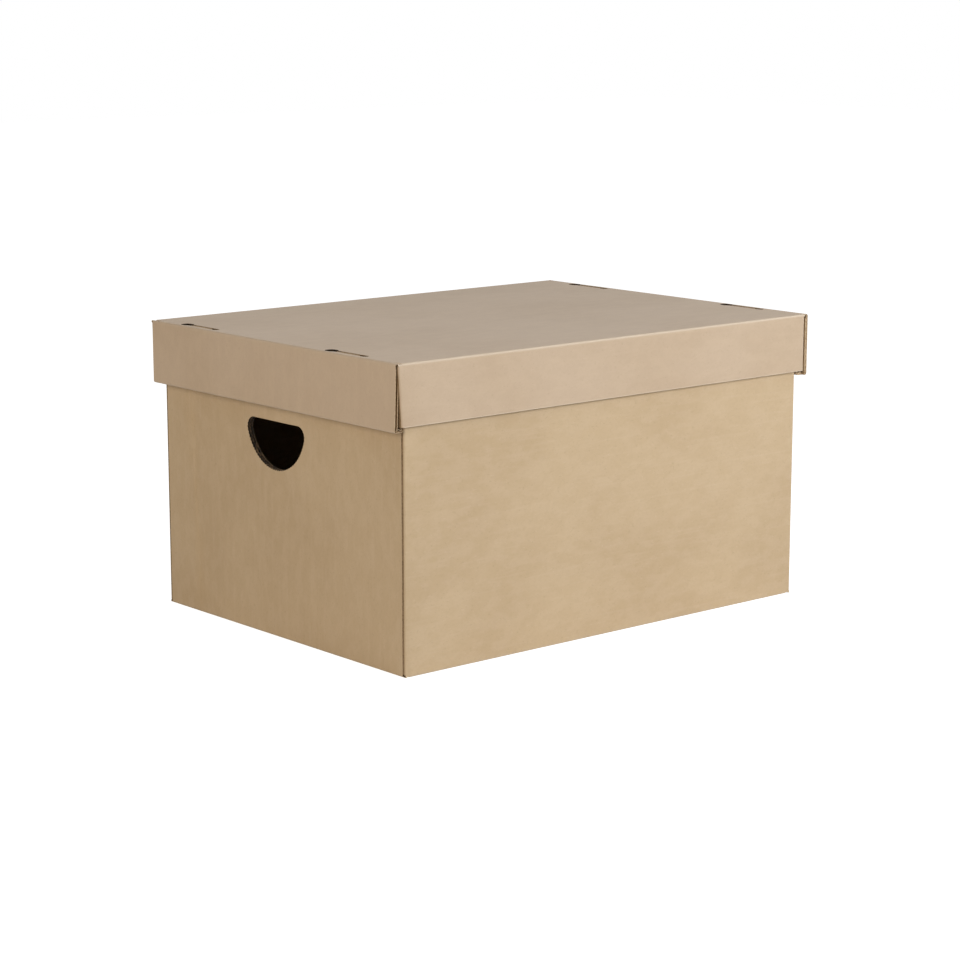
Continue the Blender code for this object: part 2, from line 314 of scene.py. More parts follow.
# %% Rounded corners and even steps
def rounded(corners, turns=5):
    """Flat points of a closed loop from corners (u, v, radius)."""
    points = []
    for index, (u, v, radius) in enumerate(corners):
        here = np.array([u, v])
        if radius == 0:
            points.append(here)
            continue
        before = np.array(corners[index - 1][:2]) - here
        after = np.array(corners[(index + 1) % len(corners)][:2]) - here
        before, after = before / np.linalg.norm(before), after / np.linalg.norm(after)
        half_angle = 0.5 * math.acos(np.clip(before @ after, -1, 1))
        middle = (before + after) / np.linalg.norm(before + after)
        centre = here + middle * radius / math.sin(half_angle)
        first = here + before * radius / math.tan(half_angle) - centre
        last = here + after * radius / math.tan(half_angle) - centre
        start = math.atan2(first[1], first[0])
        sweep = (math.atan2(last[1], last[0]) - start + math.pi) % (2 * math.pi) - math.pi
        for step in range(turns + 1):
            angle = start + sweep * step / turns
            points.append(centre + radius * np.array([math.cos(angle), math.sin(angle)]))
    return np.array(points)


def stepped(points, step):
    """The same closed loop with extra points, none further apart than step."""
    result = []
    for here, there in zip(points, np.roll(points, -1, axis=0)):
        count = max(1, math.ceil(np.linalg.norm(there - here) / step))
        for index in range(count):
            result.append(here + (there - here) * index / count)
    return np.array(result)


# %% [markdown]
# ## The outline of one blank
#
# From the tip of the inner end, past its locking tab, back along the roll-over, into the corner notch,
# out round the corner flap and along the raw top edge of the long wall. The tab is a little wider at
# its root than at its tip, so that it slides into the slot and then jams there. The slot opens into a
# wider round end, whose edge is painted near-black as shade, a dark spot beside the pale tab. All
# cut-outs of the ends sit 4 mm towards the back, which is how far the die was off when this box was cut.

# %% Tab and slot measures
TAB_CENTRE = 101 * MM
TAB_TIP = 28 * MM
TAB_TAPER = 2 * MM
TAB_ROUND = 0.8 * MM
SLOT_LENGTH = 51 * MM
SLOT_WIDTH = 5.4 * MM
SLOT_END = 9.4 * MM
# length from the round end of a slot over which its edge gets near-black painted shade; the rest of its
# edge gets brown painted shade
SLOT_SHADE = 14 * MM
SLOT_HALF = SLOT_LENGTH / 2
SLOT_SHAPE = [
    (-SLOT_HALF, SLOT_WIDTH / 2, 2.6 * MM),
    (SLOT_HALF - 12 * MM, SLOT_WIDTH / 2, 3.0 * MM),
    (SLOT_HALF - 8 * MM, SLOT_END / 2, 2.0 * MM),
    (SLOT_HALF, SLOT_END / 2, 4.0 * MM),
]
FLAP_TAPER = 4 * MM
FLAP_ROUND = 4 * MM
FOOT_ROUND = 1.5 * MM
STEP_ROUND = 0.6 * MM
NOTCH_ROUND = 0.3 * MM
NOTCH = (1.6 * MM, 1.8 * MM)
NOTCH_FOOT = 0.2 * MM
CUTOUT_SHIFT = 4 * MM
TAB_CORNERS = 4
CORNER_POINTS = 7
QUARTERS = ((1, 1), (-1, 1), (-1, -1), (1, -1))


# %% Outline, mirrored from a quarter
def outline(half):
    """Flat outline of a blank: each quarter has the tab's corners first and the wall's corners last."""
    start_u, start_v = half["end_runs"][0], half["side_runs"][0]
    rim_end = start_u + 3 * FOLD_ARC + half["end_runs"][1] + half["end_runs"][2]
    foot = rim_end + half["level"] - BOARD - AIR
    tip = rim_end + half["level"] - half["tab_tip"]
    near, far = TAB_CENTRE - TAB_TIP / 2, TAB_CENTRE + TAB_TIP / 2
    narrow = rim_end - FOLD_ARC - half["end_runs"][2]
    flap_base = start_v + FOLD_ARC + AIR
    wall_top = start_v + FOLD_ARC + half["wall_height"] - FOLD_RADIUS
    flap_end = FOLD_ARC + half["wall_y"] - FOLD_RADIUS - half["flap_tip"]
    quarter = [
        (foot, near - TAB_TAPER, TAB_ROUND),
        (tip, near, TAB_ROUND),
        (tip, far, TAB_ROUND),
        (foot, far + TAB_TAPER, TAB_ROUND),
        (foot, half["inner_half"], FOOT_ROUND),
        (narrow, half["inner_half"], STEP_ROUND),
        (narrow, None, STEP_ROUND),
        (NOTCH[1], None, NOTCH_ROUND),
        (NOTCH[1], start_v + NOTCH_FOOT, 0),
        (NOTCH[0], start_v + NOTCH_FOOT, 0),
        (NOTCH[0], flap_base, 0),
        (flap_end, flap_base + FLAP_TAPER, FLAP_ROUND),
        (flap_end, wall_top - FLAP_TAPER, FLAP_ROUND),
        (FOLD_ARC, wall_top, 0),
    ]
    corners = []
    for sign_u, sign_v in QUARTERS:
        part = []
        for index, (u, v, radius) in enumerate(quarter):
            v = end_half(half, sign_u, sign_v) if v is None else v
            u = u + corner_place(half, sign_u, sign_v) if index >= CORNER_POINTS else u
            shift = CUTOUT_SHIFT if index < TAB_CORNERS else 0
            part.append((sign_u * u, sign_v * v + shift, radius))
        corners += part if sign_u == sign_v else part[::-1]
    return rounded(corners)


for title, half in (("base", base), ("lid", lid)):
    size = np.ptp(outline(half), axis=0) / MM
    print(f"{title} blank is {size[0]:.0f} x {size[1]:.0f} mm flat")

# %% [markdown]
# ## Slots and hand holes
#
# Each tab locks into a slot with round ends. The hand hole is a half disc with its straight edge on
# top. Its curved edge is cut in small waves about 3 mm long. They spread the load on the fingers, and
# a wavy cut doesn't slice skin as a straight paper edge does.

# %% Hand hole measures
HOLE_TOP = base["ground"] + 182.2 * MM
HOLE_RADIUS = 41 * MM
HOLE_ROUND = 9 * MM
WAVE_PITCH = 3.0 * MM
WAVE_HEIGHT = 0.32 * MM
WAVE_FADE = 6 * MM
STEPS_STRAIGHT, STEPS_CORNER, STEPS_CURVE = 39, 29, 259


# %% Openings in the blank
def slots(half):
    """The four tab slots of a blank."""
    line = half["inner_x"] + BOARD / 2
    loops = []
    for sign_u in (-1, 1):
        for sign_v in (-1, 1):
            u, v = sign_u * line, sign_v * TAB_CENTRE + CUTOUT_SHIFT
            shape = []
            for b, wide, radius in SLOT_SHAPE:
                shape.append((u + wide, v + b, radius))
                shape.insert(0, (u - wide, v + b, radius))
            loops.append(rounded(shape[::-1]))
    return loops


def half_disc(radius, corner, wave):
    """Half disc below the line through its straight edge, its curved edge cut in small waves."""
    side = math.sqrt((radius - corner) ** 2 - corner**2)
    lean = math.asin(corner / (radius - corner))
    arcs = [
        (side, -corner, corner, math.pi / 2, -lean, STEPS_CORNER),
        (0.0, 0.0, radius, -lean, lean - math.pi, STEPS_CURVE),
        (-side, -corner, corner, lean - math.pi, -1.5 * math.pi, STEPS_CORNER),
    ]
    points = [(side * share, 0.0, 0.0) for share in np.linspace(-1, 1, STEPS_STRAIGHT + 1)[:-1]]
    for b, up, size, first, last, steps in arcs:
        for angle in np.linspace(first, last, steps + 1)[:-1]:
            points.append((b + size * math.cos(angle), up + size * math.sin(angle), angle))
    points = np.array(points)
    step = np.linalg.norm(np.diff(points[:, :2], axis=0, append=points[:1, :2]), axis=1)
    along = np.cumsum(step) - step
    fade = np.clip(-points[:, 1] / WAVE_FADE, 0, 1)
    push = wave * fade * np.sin(2 * math.pi * along / WAVE_PITCH)
    points[:, 0] += push * np.cos(points[:, 2])
    points[:, 1] += push * np.sin(points[:, 2])
    return points[:, :2]


def hand_holes(half):
    """The hand holes of both layers of both ends."""
    disc = half_disc(HOLE_RADIUS, HOLE_ROUND, WAVE_HEIGHT) + (CUTOUT_SHIFT, 0)
    up = half["end_runs"][0] + FOLD_ARC + HOLE_TOP - FOLD_RADIUS
    down = half["end_runs"][0] + 3 * FOLD_ARC + half["end_runs"][1] + half["end_runs"][2]
    down += half["rim_height"] - FOLD_RADIUS - HOLE_TOP
    loops = []
    for sign in (-1, 1):
        loops.append(np.column_stack([sign * (up + disc[:, 1]), disc[:, 0]]))
        loops.append(np.column_stack([sign * (down - disc[:, 1]), disc[:, 0]]))
    return loops


base_loops = [outline(base)] + slots(base) + hand_holes(base)
lid_loops = [outline(lid)] + slots(lid)
print("loops to cut: base", len(base_loops), "lid", len(lid_loops))

# %% [markdown]
# ## Crease rows
#
# A fold only bends where there are points, so every fold gets a few close rows of them across the
# strip, and three rows just outside it on each side, where the crushed board swells up again. Past an
# upright bend more rows follow the board as it springs back. Three slanting rows make the mark of a
# corner flap on the left end. The rows are given to the triangulation as lines that it has to keep.
# Loose points on a wide grid fill the flat panels, so that they can bow.

# %% Rows and grid
BESIDE_FOLD = [0.7 * MM, 1.4 * MM, 2.6 * MM]
FOLD_ROWS = [-row for row in BESIDE_FOLD[::-1]]
FOLD_ROWS += [FOLD_ARC * share for share in (0, 0.2, 0.4, 0.6, 0.8, 1)]
FOLD_ROWS += [FOLD_ARC + row for row in BESIDE_FOLD]
SPRING_ROWS = [FOLD_ARC + share * SPRING_BACK for share in (0.6, 0.8, 1.0)]
GRID = 11 * MM
PAST_END = 0.4 * MM
PAST_CORNER = 0.2 * MM
ABOVE_FOOT = 0.1 * MM
PALE_EDGE_BAND = 0.9 * MM
FLAP_MARK = ((4 * MM, 116 * MM), (236 * MM, 129 * MM))
FLAP_MARK_WIDTH = 1.8 * MM


def crease_rows(half):
    """Lines across the blank at every fold: (point, point)."""
    rows = []
    start = half["end_runs"][0]
    folds = [start, start + FOLD_ARC + half["end_runs"][1]]
    folds.append(folds[1] + FOLD_ARC + half["end_runs"][2])
    for fold_start in folds:
        for row in FOLD_ROWS:
            u, reach = fold_start + row, half["end_half"] + PAST_END
            rows += [((sign * u, -reach), (sign * u, reach)) for sign in (-1, 1)]
    for row in FOLD_ROWS:
        v, reach = half["side_runs"][0] + row, half["corner_x"] + PAST_CORNER
        rows += [((-reach, sign * v), (reach, sign * v)) for sign in (-1, 1)]
    cut_edge = half["side_runs"][0] + FOLD_ARC + half["wall_height"] - FOLD_RADIUS - PALE_EDGE_BAND
    reach = half["corner_x"] + FOLD_ARC
    rows += [((-reach, sign * cut_edge), (reach, sign * cut_edge)) for sign in (-1, 1)]
    if half is base:
        for step in (-0.5, 0.0, 0.5):
            (low_u, low_v), (high_u, high_v) = FLAP_MARK
            side = step * FLAP_MARK_WIDTH
            rows.append(((-start - low_u, low_v + side), (-start - high_u, high_v + side)))
    low = half["side_runs"][0] + FOLD_ARC + ABOVE_FOOT
    high = low + half["wall_height"]
    for sign_u, sign_v in QUARTERS:
        for row in FOLD_ROWS + SPRING_ROWS:
            u = corner_place(half, sign_u, sign_v) + row
            rows.append(((sign_u * u, sign_v * low), (sign_u * u, sign_v * high)))
    return rows


print(len(crease_rows(lid)), "rows in each blank")


# %% [markdown]
# ## Triangles between the lines
#
# Constrained Delaunay triangulation takes the outline, the holes and the crease rows as fixed lines
# and fills the rest with well-shaped triangles. It fills outside the outline too, so an even-odd test
# throws away every triangle whose middle isn't on the board.


# %% Triangulate a blank
CLEAR = 0.4
SAME_POINT = 1e-7


def on_board(points, loops):
    """True for flat points inside the outline and outside its holes."""
    u, v = points[:, 0], points[:, 1]
    inside = np.zeros(len(points), bool)
    for loop in loops:
        for (au, av), (bu, bv) in zip(loop, np.roll(loop, -1, axis=0)):
            if av != bv:
                crossed = (av > v) != (bv > v)
                inside ^= crossed & (u < (bu - au) * (v - av) / (bv - av) + au)
    return inside


def triangulate(loops, rows, grid):
    """Flat points and triangles of a blank."""
    points, edges = [], []
    for loop in loops:
        first = len(points)
        points += [tuple(point) for point in loop]
        edges += [(first + i, first + (i + 1) % len(loop)) for i in range(len(loop))]
    for here, there in rows:
        count = max(1, round(math.dist(here, there) / grid))
        first = len(points)
        for index in range(count + 1):
            share = index / count
            points.append(tuple(np.array(here) * (1 - share) + np.array(there) * share))
        edges += [(first + i, first + i + 1) for i in range(count)]
    fixed = np.array(points)
    reach = np.ceil(abs(fixed).max(axis=0) / grid) * grid
    across = np.arange(-reach[0], reach[0], grid) + grid / 2
    along = np.arange(-reach[1], reach[1], grid) + grid / 2
    loose = np.array([(u, v) for u in across for v in along])
    gap = np.array([np.min(np.hypot(*(fixed - point).T)) for point in loose])
    points += [tuple(point) for point in loose[gap > CLEAR * grid]]
    made = delaunay_2d_cdt([Vector(point) for point in points], edges, [], 0, SAME_POINT)
    flat = np.array([tuple(point) for point in made[0]])
    triangles = np.array(made[2])
    triangles = triangles[on_board(flat[triangles].mean(axis=1), loops)]
    used, numbers = np.unique(triangles, return_inverse=True)
    return flat[used], numbers.reshape(triangles.shape)


EDGE_STEP = 1.0 * MM


def cut(loops, rows):
    """Flat points and triangles of a blank whose edges are divided into short steps."""
    return triangulate([stepped(loop, EDGE_STEP) for loop in loops], rows, GRID)


base_flat, base_triangles = cut(base_loops, crease_rows(base))
lid_flat, lid_triangles = cut(lid_loops, crease_rows(lid))
print("triangles on one face: base", len(base_triangles), "lid", len(lid_triangles))

# %% [markdown]
# ## Two papers, a cut edge and the flutes
#
# Real board is hollow, and it shows wherever it is cut. So the solid isn't closed with a flat wall.
# Along every edge the two liners stand out as thin lips, with a groove between them, and in the groove
# runs the wavy core. The groove is deep at the left end's upright edges, where the cut shows open, and
# in the slots and hand holes. Elsewhere the rule has pressed the edge nearly shut. Flutes run along the
# length of the blank. An edge that crosses them shows the wave, and an edge that runs with them looks
# into one long dark flute. One formula gives both, because the height of the core depends only on how
# far across the flutes a point is.


# %% Loops along the edges of a triangulated blank
def edge_loops(triangles):
    """Chains of point numbers along every edge, with the board on the left."""
    pairs = [(a, b) for tri in triangles.tolist() for a, b in zip(tri, tri[1:] + tri[:1])]
    known = set(pairs)
    follow = {a: b for a, b in pairs if (b, a) not in known}
    loops = []
    while follow:
        start, here = next(iter(follow.items()))
        del follow[start]
        loop = [start]
        while here != start:
            loop.append(here)
            here = follow.pop(here)
        loops.append(np.array(loop))
    return loops


def inward(points):
    """Flat unit directions into the board at the points of a loop."""
    ahead = np.roll(points, -1, axis=0) - points
    ahead /= np.linalg.norm(ahead, axis=1)[:, None]
    left = np.column_stack([-ahead[:, 1], ahead[:, 0]])
    both = left + np.roll(left, 1, axis=0)
    return both / np.maximum(np.linalg.norm(both, axis=1), 0.5)[:, None]


def core_depth(v):
    """Depth of the middle of the fluted core at a place across the flutes."""
    swing = BOARD / 2 - LINER - CORE_SHEET / 2
    return BOARD / 2 + swing * np.cos(2 * math.pi * v / FLUTE_PITCH)


# %% [markdown]
# ## Making the solid
#
# `board` lays out all the points first, then the faces, and makes one mesh of them. Each point keeps
# its flat place on the blank in an attribute called `blank`, and how near it is to a crease in one
# called `crease`. The materials read these two and nothing else, so the paper has its grain wherever
# it is folded to. Each face also gets one of six finishes: the outer and the inner paper, the cut edge,
# the core in it, near-black painted shade on the edges of the slots and hand holes, and brown painted
# shade on the paper that just shows in the gap where a flap goes in behind an end.

# %% Build corrugated board from a flat blank
CUT_PROFILE = [(0.0, 0.0), (0.0, LINER), (CUT_DEPTH, LINER)]
CUT_PROFILE += [(inset, BOARD - depth) for inset, depth in CUT_PROFILE[::-1]]
CORE_INSETS = [0.2 * MM, 0.9 * MM, 1.6 * MM, CUT_DEPTH + 0.2 * MM]
OUTSIDE, INSIDE, CUT, CORE, SHADED, GAP_SHADE = range(6)
CUT_FINISH = [CUT, CORE, CORE, CORE, CUT]
OPEN_EDGE = 0.95
SHARP_ANGLE = 35


def board(name, place, flat, triangles, nearness=None, tucked=None):
    """A closed solid of corrugated board; place(points, depth) says where each flat point goes."""
    count = len(flat)
    blank = [np.column_stack([flat, np.full(count, depth)]) for depth in (0.0, BOARD)]
    faces = [(*tri,) for tri in triangles.tolist()]
    faces += [(a + count, c + count, b + count) for a, b, c in triangles.tolist()]
    finish = [OUTSIDE] * len(triangles) + [INSIDE] * len(triangles)
    # where a flap has just gone in behind an end, its outer paper gets the brown painted shade of the gap
    if tucked:
        hidden = tucked(flat[triangles].mean(axis=1))
        finish[: len(triangles)] = np.where(hidden, GAP_SHADE, OUTSIDE).tolist()
    total = 2 * count

    def band(lower, upper, kind):
        """Faces between two chains of points of a closed loop."""
        corners = zip(lower, np.roll(lower, -1), np.roll(upper, -1), upper)
        for (a, b, c, d), depth, tone in zip(corners, share, tones):
            faces.append((int(b), int(a), int(d), int(c)))
            finish.append(int(tone) if dark else CUT if kind == CORE and depth < 1 else kind)

    def chain(points, inset, depth):
        """New points at an inset from the edge and a depth; returns their numbers."""
        nonlocal total
        moved = points + (inset * share)[:, None] * inward(points)
        depth = np.broadcast_to(depth(moved[:, 1]) if callable(depth) else depth, len(points))
        blank.append(np.column_stack([moved, depth]))
        total += len(points)
        return np.arange(total - len(points), total)

    for loop in edge_loops(triangles):
        points = flat[loop]
        # the cut edges of slots and hand holes get painted shade instead of the paper's colour
        dark = tucked is not None and np.ptp(points[:, 0]) < 2 * HOLE_RADIUS
        deep = (points[:, 0] < 0) & (abs(points[:, 1]) > OPEN_EDGE * base["end_half"])
        share = np.where(dark | deep, 1.0, OUTER_CUT_SHARE)
        in_slot = np.ptp(points[:, 0]) < 2 * SLOT_END
        beside_tab = points[:, 1] < points[:, 1].max() - SLOT_SHADE
        # near the round end of a slot near-black painted shade, along the tab brown painted shade
        tones = np.where(in_slot & beside_tab, GAP_SHADE, SHADED)
        rows = [loop] + [chain(points, *step) for step in CUT_PROFILE[1:-1]] + [loop + count]
        for lower, upper, kind in zip(rows, rows[1:], CUT_FINISH):
            band(lower, upper, kind)
        rows = []
        for lift, insets in ((-CORE_SHEET / 2, CORE_INSETS), (CORE_SHEET / 2, CORE_INSETS[::-1])):
            for inset in insets:
                rows.append(chain(points, inset, lambda v, lift=lift: core_depth(v) + lift))
        for lower, upper in zip(rows, rows[1:] + rows[:1]):
            band(lower, upper, CORE)
    blank = np.vstack(blank)
    mesh = bpy.data.meshes.new(name)
    mesh.from_pydata(place(blank[:, :2], blank[:, 2]).tolist(), [], faces)
    mesh.polygons.foreach_set("material_index", finish)
    mesh.attributes.new("blank", "FLOAT_VECTOR", "POINT").data.foreach_set("vector", blank.ravel())
    near = nearness(blank) if nearness else np.zeros(len(blank))
    mesh.attributes.new("crease", "FLOAT", "POINT").data.foreach_set("value", near)
    work = bmesh.new()
    work.from_mesh(mesh)
    bmesh.ops.recalc_face_normals(work, faces=work.faces)
    loose = sum(len(edge.link_faces) != 2 for edge in work.edges)
    work.to_mesh(mesh)
    work.free()
    mesh.shade_smooth()
    mesh.set_sharp_from_angle(angle=math.radians(SHARP_ANGLE))
    piece = bpy.data.objects.new(name, mesh)
    bpy.context.scene.collection.objects.link(piece)
    print(f"{name}: {len(mesh.vertices)} points, {len(mesh.polygons)} faces, {loose} open edges")
    return piece


# %% [markdown]
# ## Panels that give a little
#
# No panel of a real box is a perfect plane. The lid's top sags by about a millimetre, the walls draw in
# a little where nothing holds them, and all of them are faintly uneven, which is what the eye takes
# for paper. `sink` moves the board inwards by this much. It is nothing at the creases and never
# outwards, so the box keeps its size. On the left end the edge of a corner flap behind the board shows
# through as a faint slanting line. Round the hand holes the two layers have been pressed together by
# the fingers that lift the box. A ripple is written as its share of the height, its waves per metre in
# radians along and across, and where it starts.

# %% How far each panel gives
PANEL_SINK = {"base": (0.5 * MM, 0.6 * MM, 0.5 * MM), "lid": (1.0 * MM, 0.35 * MM, 0.5 * MM)}
RIPPLE = 0.10 * MM
RIPPLE_WAVES = [(0.5, 71, 0, 1.3, 83, 0.7), (0.3, 190, 41, 0.0, 137, 2.1)]
CALM_RIM = 4
WALL_BOW = 2.2
FLAP_STEP = 0.6 * MM
FLAP_STEP_ENDS = 12
FLAP_STEP_FADE = (-20 * MM, 80 * MM)
PRESSED = 3.2 * MM
PRESSED_TO = 0.75
PRESSED_ENDS = (8, 4)


def swell(share):
    """0 at both ends of a panel and 1 in its middle, rising softly."""
    return np.sin(math.pi * np.clip(share, 0, 1)) ** 2


def sink(half, flat):
    """How far flat points move inwards after folding."""
    u, v = abs(flat[:, 0]), abs(flat[:, 1])
    top, wall, end = half["give"]
    start_u, start_v = half["end_runs"][0], half["side_runs"][0]
    along, across = 0.5 + 0.5 * u / start_u, 0.5 + 0.5 * v / start_v
    flat_part = swell(along) * swell(across) * (u < start_u) * (v < start_v)
    rise = (v - start_v - FOLD_ARC) / half["side_runs"][1]
    bow = np.sin(np.clip(rise, 0, 1) * WALL_BOW)
    side_part = swell(0.5 + 0.5 * u / half["corner_x"]) * bow * (v > start_v)
    climb = (u - start_u - FOLD_ARC) / half["end_runs"][1]
    end_part = swell(0.5 + 0.5 * v / half["flap_tip"]) * swell(climb) * (u > start_u)
    wave = 0.0
    for share, along_u, along_v, start, across_v, across_start in RIPPLE_WAVES:
        ridge = np.sin(along_u * flat[:, 0] + along_v * flat[:, 1] + start)
        wave = wave + share + share * ridge * np.sin(across_v * flat[:, 1] + across_start)
    calm = np.clip(np.maximum.reduce([flat_part, side_part, end_part]) * CALM_RIM, 0, 1)
    if half is base:
        (low_u, low_v), (high_u, high_v) = FLAP_MARK
        mark_v = low_v + (high_v - low_v) * (u - start_u - low_u) / (high_u - low_u)
        beside = soft_step(0.5 + (mark_v - flat[:, 1]) / FLAP_MARK_WIDTH)
        beside *= soft_step((flat[:, 1] - FLAP_STEP_FADE[0]) / np.ptp(FLAP_STEP_FADE))
        on_end = soft_step(climb * FLAP_STEP_ENDS) * soft_step((1 - climb) * FLAP_STEP_ENDS)
        end_part = end_part + FLAP_STEP / end * beside * on_end * (flat[:, 0] < -start_u)
        down = half["end_runs"][0] + 3 * FOLD_ARC + half["end_runs"][1] + half["end_runs"][2]
        fall = (u - down) / half["level"]
        pressed = soft_step(fall * PRESSED_ENDS[0]) * soft_step((PRESSED_TO - fall) * PRESSED_ENDS[1])
        pressed *= soft_step((half["flap_tip"] - v) / (0.5 * half["flap_tip"]))
        end_part = end_part * (u < down) + PRESSED / end * pressed
    return top * flat_part + wall * side_part + end * end_part + RIPPLE * wave * calm


# %% [markdown]
# ## Where the paper is rubbed pale, with a painted highlight
#
# A crease stands out from the box and gets rubbed pale, and a painted highlight is laid into the same pale
# colour.
# The long creases along the top and bottom take most of it. The raw edge at the top of a long wall frays,
# which looks the same, and gets the same mix of pale wear and painted highlight.

# %% Nearness to a crease
WEAR_AND_HIGHLIGHT_REACH = 2.4 * MM
WEAR_AND_HIGHLIGHT_ELSEWHERE = 0.45
BEFORE_END, BESIDE_END = 6 * MM, 3 * MM


def crease_nearness(half):
    """A function that gives 1 at the middle of a fold and 0 a few millimetres away."""
    start = half["end_runs"][0] + FOLD_ARC / 2
    second = start + FOLD_ARC + half["end_runs"][1]
    third = second + FOLD_ARC + half["end_runs"][2]

    def near(blank):
        u, v = abs(blank[:, 0]), abs(blank[:, 1])
        in_end = (u > half["end_runs"][0] - BEFORE_END) & (v < half["side_runs"][0] + BESIDE_END)
        gaps = [np.where(in_end, abs(u - fold), 1) for fold in (start, second, third)]
        gaps.append(np.where(in_end & (u > start), 1, abs(v - half["side_runs"][0] - FOLD_ARC / 2)))
        upright = v > half["side_runs"][0] + FOLD_ARC
        for sign_u, sign_v in QUARTERS:
            here = upright & (blank[:, 0] * sign_u > 0) & (blank[:, 1] * sign_v > 0)
            middle = corner_place(half, sign_u, sign_v) + FOLD_ARC / 2
            gaps.append(np.where(here, abs(u - middle), 1))
        # pale wear at a fold with a painted highlight laid in, strongest on the long creases
        pale_wear_and_highlight = np.clip(1 - np.minimum.reduce(gaps) / WEAR_AND_HIGHLIGHT_REACH, 0, 1)
        along_wall = (abs(blank[:, 1]) > half["side_runs"][0]) & ~upright
        pale_wear_and_highlight *= np.where(along_wall, 1.0, WEAR_AND_HIGHLIGHT_ELSEWHERE)
        cut_edge = half["side_runs"][0] + FOLD_ARC + half["wall_height"] - FOLD_RADIUS
        # frayed cut edge at the top of a long wall: pale wear with a painted highlight
        frayed_and_highlight = np.clip(1 - (cut_edge - v) / PALE_EDGE_BAND, 0, 1) * (u < half["corner_x"] + FOLD_ARC)
        return np.maximum(pale_wear_and_highlight, frayed_and_highlight)

    return near


# %% [markdown]
# ## The two sheets
#
# Each half is one unbroken piece and rides on its own body, so the lid lifts off whole. It stands for
# all the panels that the CAD model has between its creases.

# %% Fold both sheets
base["give"], lid["give"] = PANEL_SINK["base"], PANEL_SINK["lid"]
PAST_BEND = 0.8 * FOLD_ARC


def flap_root(half):
    """A function that is true where a corner flap has just gone in behind its end, where brown painted
    shade goes.
    """

    def tucked(flat):
        inside = np.zeros(len(flat), bool)
        for sign_u, sign_v in QUARTERS:
            past = flat[:, 0] * sign_u - corner_place(half, sign_u, sign_v) - PAST_BEND
            inside |= (past > 0) & (flat[:, 1] * sign_v > half["side_runs"][0] + FOLD_ARC)
        return inside

    return tucked


def sheet_of(name, half, flat, triangles):
    """One folded sheet, panel sag included."""

    def place(points, depth):
        return fold(half, points, depth + sink(half, points))

    return board(name, place, flat, triangles, crease_nearness(half), flap_root(half))


base_sheet = sheet_of("base_sheet", base, base_flat, base_triangles)
lid_sheet = sheet_of("lid_sheet", lid, lid_flat, lid_triangles)
for half, sheet, middle in (("base", base_sheet, "base_floor"), ("lid", lid_sheet, "lid_top")):
    nodes = [middle, f"{half}_front_wall", f"{half}_back_wall"]
    for side in ("left", "right"):
        nodes += [f"{half}_{side}_{panel}" for panel in ("outer_end", "rim", "inner_end")]
        nodes += [f"{half}_{face}_{side}_corner_flap" for face in ("front", "back")]
    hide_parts(*nodes)
    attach(sheet, half)
    print(sheet.name, "stands for", len(nodes), "CAD panels")

# %% [markdown]
# ## Hand flaps
#
# The die doesn't cut the hole out of the inner layer. It leaves a half disc hanging by its straight
# edge, and the first hand that lifts the box pushes it in. The photograph shows the hole open, so the
# flap is folded flat up against the inside. It turns about that edge, so it is a piece of its own.


# %% Make the hand flaps
def flap_place(node, side):
    """A function that puts a half disc where the CAD flap is; its inner paper faces into the box."""
    low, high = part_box(node)
    stretch = (high.z - low.z) / (high.y - low.y) * 2

    def place(flat, depth):
        x = (abs(low.x) if side < 0 else high.x) - depth
        return np.column_stack([side * x, flat[:, 1], low.z - flat[:, 0] * stretch])

    return place


for name, side in (("left_hand_flap", -1), ("right_hand_flap", 1)):
    low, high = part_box(name)
    disc = half_disc((high.y - low.y) / 2, HOLE_ROUND, 0.0) + ((high.y + low.y) / 2, 0)
    flap_flat, flap_triangles = cut([np.column_stack([disc[:, 1], disc[:, 0]])[::-1]], [])
    flap = board(f"{name}_board", flap_place(name, side), flap_flat, flap_triangles)
    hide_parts(name)
    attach(flap, name)

# %% [markdown]
# # Finish
#
# ## Kraft liner
#
# Kraft paper is unbleached softwood pulp. Its brown comes from the wood and is never even: the pulp
# clouds as it lands on the wire, long fibres lie on the surface, and bits of bark and pale shives show
# as specks. It is matt, with a faint sheen when it is seen along the surface. Colours are written as
# sRGB hex, as a paint program shows them, and one function turns them into the linear light that
# Blender works in.


# %% Colour and node helpers
def linear(code):
    """Linear RGBA of an sRGB hex colour."""
    parts = [int(code[i : i + 2], 16) / 255 for i in (1, 3, 5)]
    return [p / 12.92 if p <= 0.04045 else ((p + 0.055) / 1.055) ** 2.4 for p in parts] + [1.0]


def add(tree, kind, sockets=None, **settings):
    """Adds a node with its settings; each socket gets a value, or a link from another node's output."""
    node = tree.nodes.new(kind)
    for key, value in settings.items():
        setattr(node, key, value)
    for key, value in (sockets or {}).items():
        if isinstance(value, bpy.types.NodeSocket):
            tree.links.new(value, node.inputs[key])
        else:
            node.inputs[key].default_value = value
    return node


def layered(tree, below, cover, shade):
    """The colour below with another shade laid over it where cover is above nothing."""
    mix = add(tree, "ShaderNodeMix", {"Factor": cover, 6: below}, data_type="RGBA")
    mix.inputs[7].default_value = linear(shade)
    return mix.outputs[2]


# %% [markdown]
# ## Layers of a sheet of paper
#
# Each layer is one thing that can be seen on the paper, as a noise with a real size in millimetres
# along and across the flutes. The values where it starts and where it is full say how much of the
# sheet it covers. Specks finer than half a millimetre can't show in this picture, so they are drawn
# about 1.5 mm wide.

